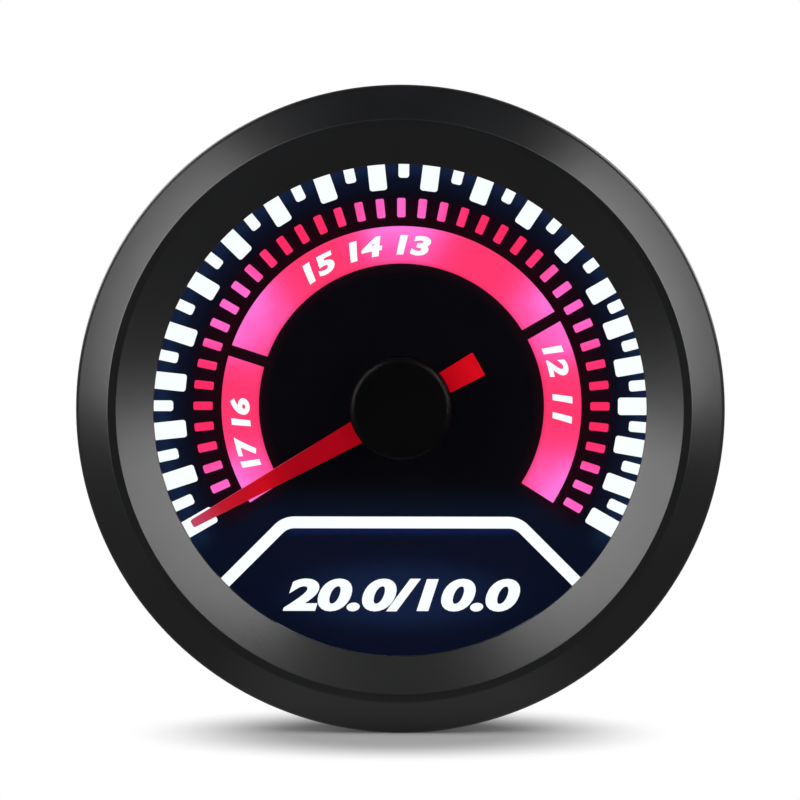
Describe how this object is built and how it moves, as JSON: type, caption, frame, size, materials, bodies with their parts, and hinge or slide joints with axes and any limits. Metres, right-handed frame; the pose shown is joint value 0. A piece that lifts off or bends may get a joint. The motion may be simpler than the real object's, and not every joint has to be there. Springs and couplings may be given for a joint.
{
  "type": "air fuel ratio gauge",
  "caption": "Round panel gauge for air to fuel ratio: black bezel, smoked lens, lit dial with mixture bands, red pointer on a geared stepper movement, barrel case with rear studs and socket.",
  "frame": {"origin": "on the gauge's axis, in the plane where the bezel and the flange meet the panel", "axes": "+Y along the axis towards the rear of the gauge, so the face looks along -Y; +Z towards twelve o'clock; +X to the driver's right"},
  "size_m": [0.06, 0.0557, 0.06],
  "materials": {
    "bezel_black": "satin black",
    "lens_smoke": "clear polished acrylic, lightly smoked",
    "gasket_rubber": "matte",
    "shroud_black": "matte black",
    "dial_black": "matte print",
    "window_white": "translucent, lit from behind",
    "window_red": "translucent, lit from behind",
    "diffuser_white": "translucent white",
    "reflector_white": "matte white",
    "board_green": "solder mask",
    "lamp_white": "moulded lamp package",
    "lamp_red": "moulded lamp package",
    "chip_black": "moulded package",
    "screw_zinc": "zinc plated",
    "stud_zinc": "zinc plated, threaded",
    "motor_cream": "moulded",
    "core_steel": "stamped sheet",
    "bobbin_green": "moulded",
    "winding_copper": "enamelled wire",
    "magnet_grey": "sintered",
    "gear_natural": "moulded acetal",
    "shaft_steel": "ground",
    "bush_brass": "turned",
    "pin_gold": "plated",
    "pointer_red": "translucent red",
    "hub_black": "satin",
    "capacitor_can": "drawn can",
    "case_black": "fine texture",
    "socket_black": "moulded"
  },
  "bodies": {
    "housing": {"bezel_ring": "bezel_black", "lens": "lens_smoke", "lens_gasket": "gasket_rubber", "dial_shroud": "shroud_black", "dial_plate": "dial_black", "scale_blocks": "window_white", "scale_bars": "window_red", "mixture_bands": "window_red", "panel_line": "window_white", "diffuser_disc": "diffuser_white", "light_box": "reflector_white", "circuit_board": "board_green", "white_lamps": "lamp_white", "red_lamps": "lamp_red", "driver_chip": "chip_black", "resistors": "chip_black", "board_screws": "screw_zinc", "motor_front_cover": "motor_cream", "motor_rear_cover": "motor_cream", "stator_cores": "core_steel", "coil_bobbins": "bobbin_green", "coil_windings": "winding_copper", "motor_pins": "pin_gold", "shaft_bush": "bush_brass", "header_strips": "socket_black", "header_pins": "pin_gold", "power_board": "board_green", "voltage_regulator": "chip_black", "capacitors": "capacitor_can", "connector_housing": "socket_black", "connector_pins": "pin_gold", "case_can": "case_black", "rear_seal": "gasket_rubber", "rear_cover": "case_black", "rear_cover_screws": "screw_zinc", "mounting_studs": "stud_zinc"},
    "pointer": {"pointer_blade": "pointer_red", "pointer_hub": "hub_black", "pointer_shaft": "shaft_steel", "output_wheel": "gear_natural"},
    "intermediate": {"intermediate_gear": "gear_natural"},
    "rotor": {"rotor_spindle": "gear_natural", "rotor_magnet": "magnet_grey"}
  },
  "joints": [
    {"name": "pointer_sweep", "type": "hinge", "parent": "housing", "child": "pointer", "pos_m": [0, 0, 0], "axis": [0, 1, 0], "range_deg": [0, 239.3]},
    {"name": "intermediate_spin", "type": "hinge", "parent": "housing", "child": "intermediate", "pos_m": [0.00564, 0, -0.00886], "axis": [0, 1, 0], "range_deg": [-1435.8, 0]},
    {"name": "rotor_spin", "type": "hinge", "parent": "housing", "child": "rotor", "pos_m": [0, 0, -0.013], "axis": [0, 1, 0], "range_deg": [0, 8614.8]}
  ],
  "couplings": [
    {"joint": "intermediate_spin", "follows": "pointer_sweep", "ratio": -6},
    {"joint": "rotor_spin", "follows": "pointer_sweep", "ratio": 36}
  ]
}
